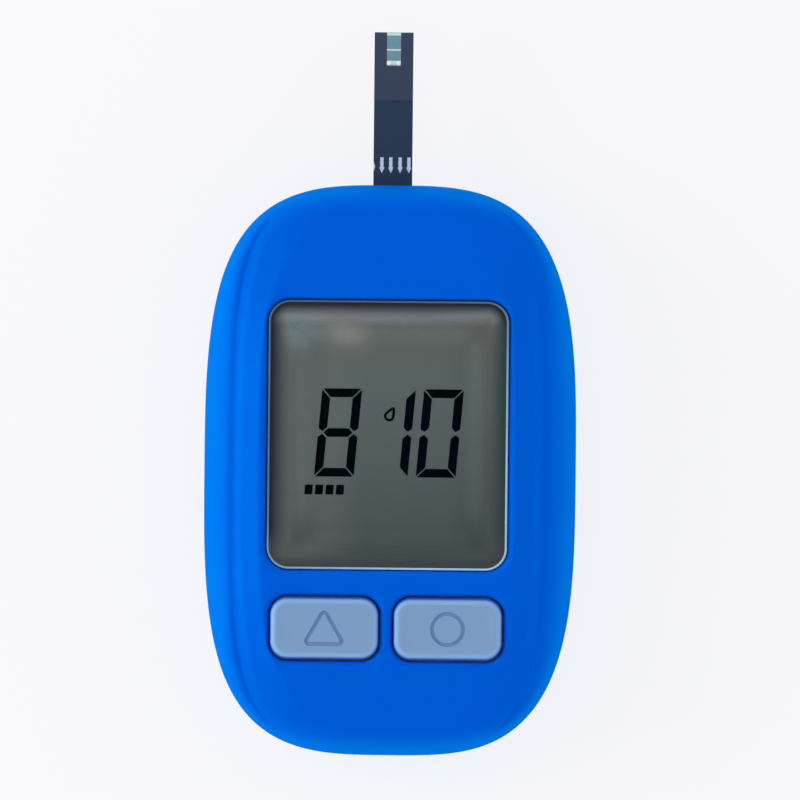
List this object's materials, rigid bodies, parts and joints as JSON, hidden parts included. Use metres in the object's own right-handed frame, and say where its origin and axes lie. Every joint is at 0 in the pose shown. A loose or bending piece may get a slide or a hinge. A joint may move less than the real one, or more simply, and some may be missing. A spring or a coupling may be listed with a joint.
{
  "type": "blood lactate meter",
  "caption": "Hand-held blood lactate meter with a display, two keys, a test strip in its port and a hinged battery door.",
  "frame": {"origin": "centre of the flat rear face, which the meter rests on", "axes": "+Z out of the display, +Y along the case towards the strip port, +X to the right of the display"},
  "size_m": [0.0612, 0.1192, 0.0238],
  "materials": {
    "case_plastic": "satin",
    "key_plastic": "satin",
    "window_clear": "gloss",
    "gasket_black": "matte",
    "lcd_film": "satin",
    "lcd_glass": "gloss",
    "frame_plastic": "matte",
    "zebra_rubber": "matte",
    "board_laminate": "satin",
    "chip_plastic": "matte",
    "crystal_can": "satin",
    "small_parts": "satin",
    "port_plastic": "satin",
    "contact_gold": "satin",
    "silicone": "matte",
    "carbon_pill": "matte",
    "cell_jacket": "gloss",
    "contact_steel": "satin",
    "screw_steel": "satin",
    "strip_print": "satin",
    "strip_spacer": "matte",
    "strip_cover": "satin",
    "strip_clear": "gloss"
  },
  "bodies": {
    "case": {"front_cover": "case_plastic", "rear_cover": "case_plastic", "case_screws": "screw_steel", "window_lens": "window_clear", "lens_gasket": "gasket_black", "lcd_polarizer": "lcd_film", "lcd_front_glass": "lcd_glass", "lcd_rear_glass": "lcd_glass", "lcd_reflector": "lcd_film", "lcd_frame": "frame_plastic", "zebra_strip": "zebra_rubber", "main_board": "board_laminate", "processor_chip": "chip_plastic", "analog_chip": "chip_plastic", "memory_chip": "chip_plastic", "clock_crystal": "crystal_can", "chip_parts": "small_parts", "beeper": "port_plastic", "strip_connector": "port_plastic", "strip_contacts": "contact_gold", "key_mat": "silicone", "memory_dome": "silicone", "set_dome": "silicone", "battery_upper": "cell_jacket", "battery_lower": "cell_jacket", "battery_springs": "contact_steel", "bridge_plate": "contact_steel", "positive_contact": "contact_steel", "negative_contact": "contact_steel"},
    "memory_button": {"memory_button": "key_plastic", "memory_pill": "carbon_pill"},
    "set_button": {"set_button": "key_plastic", "set_pill": "carbon_pill"},
    "battery_door": {"battery_door": "case_plastic"},
    "strip": {"strip_base": "strip_print", "strip_spacer": "strip_spacer", "strip_cover": "strip_cover", "strip_window": "strip_clear"}
  },
  "joints": [
    {"name": "memory_press", "type": "slide", "parent": "case", "child": "memory_button", "axis": [0, 0, -1], "range_m": [0, 0.0008], "stiffness_N_per_m": 1500, "springref_m": -0.0002, "deforming": ["memory_dome"]},
    {"name": "set_press", "type": "slide", "parent": "case", "child": "set_button", "axis": [0, 0, -1], "range_m": [0, 0.0008], "stiffness_N_per_m": 1500, "springref_m": -0.0002, "deforming": ["set_dome"]},
    {"name": "door_hinge", "type": "hinge", "parent": "case", "child": "battery_door", "pos_m": [0, -0.00205, 0.0001], "axis": [1, 0, 0], "range_deg": [0, 60]},
    {"name": "strip_pull", "type": "slide", "parent": "case", "child": "strip", "axis": [0, 1, 0], "range_m": [0, 0.012]}
  ]
}
